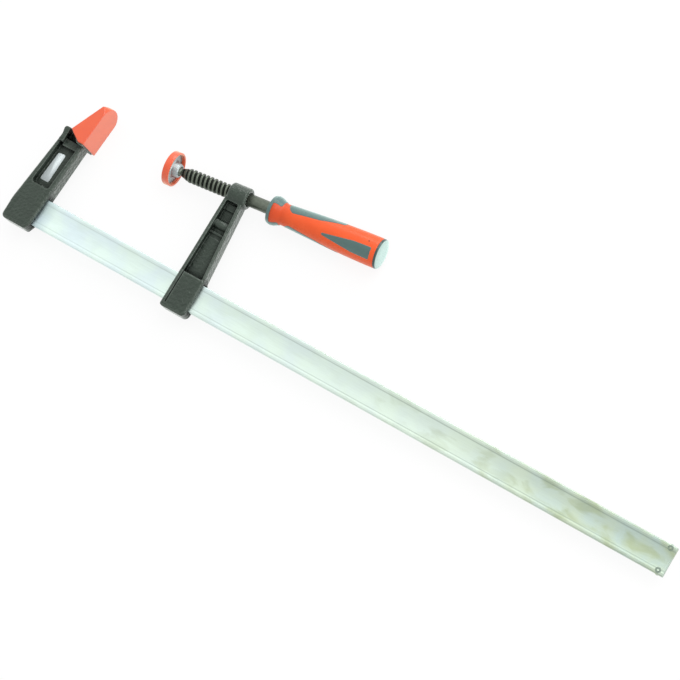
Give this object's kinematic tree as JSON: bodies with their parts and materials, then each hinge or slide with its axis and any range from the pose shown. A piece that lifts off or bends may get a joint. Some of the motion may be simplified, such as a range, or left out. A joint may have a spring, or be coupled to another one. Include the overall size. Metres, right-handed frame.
{
  "type": "bar clamp",
  "caption": "One-handed F-shaped bar clamp: grooved steel rail, capped fixed jaw, sliding arm, screw with swivelling pad and a two-component handle.",
  "frame": {"origin": "middle of the fixed jaw's pressure face, where the work is clamped", "axes": "+X along the rail from the fixed jaw to the rail's free end, +Y from the rail towards the jaw tips, +Z square to the plane of the clamp; the clamp lies on its side"},
  "size_m": [0.6342, 0.1369, 0.0298],
  "materials": {
    "zinc_steel": "bright zinc plated, satin",
    "black_iron": "blackened casting, fine grain",
    "red_plastic": "moulded, slight sheen",
    "screw_steel": "phosphated, lightly oiled",
    "orange_plastic": "moulded, slight gloss",
    "soft_grip": "matte elastomer"
  },
  "bodies": {
    "rail": {"rail": "zinc_steel", "fixed_jaw": "black_iron", "jaw_cap": "red_plastic"},
    "arm": {"sliding_arm": "black_iron"},
    "feed": {"ball_end": "screw_steel"},
    "screw": {"spindle": "screw_steel", "handle_core": "orange_plastic", "grip_collar": "soft_grip", "grip_inlay_front_1": "soft_grip", "grip_inlay_front_2": "soft_grip", "grip_inlay_rear_1": "soft_grip", "grip_inlay_rear_2": "soft_grip", "grip_end_cap": "soft_grip"},
    "pad": {"pad_plate": "zinc_steel", "pad_cap": "red_plastic"}
  },
  "joints": [
    {"name": "arm_slide", "type": "slide", "parent": "rail", "child": "arm", "axis": [1, 0, 0], "range_m": [-0.063, 0.4355]},
    {"name": "spindle_feed", "type": "slide", "parent": "arm", "child": "feed", "axis": [-0.9957, -0.0924, 0], "range_m": [-0.03601, 0.00201]},
    {"name": "spindle_turn", "type": "hinge", "parent": "feed", "child": "screw", "pos_m": [0.07863, 0.00065, 0], "axis": [-0.9957, -0.0924, 0], "range_deg": [-3240, 180]},
    {"name": "pad_tilt", "type": "hinge", "parent": "feed", "child": "pad", "pos_m": [0.07863, 0.00065, 0], "axis": [0, 0, 1], "range_deg": [-12, 12]}
  ],
  "couplings": [
    {"joint": "spindle_feed", "follows": "spindle_turn", "m_per_rad": 0.00063662}
  ]
}
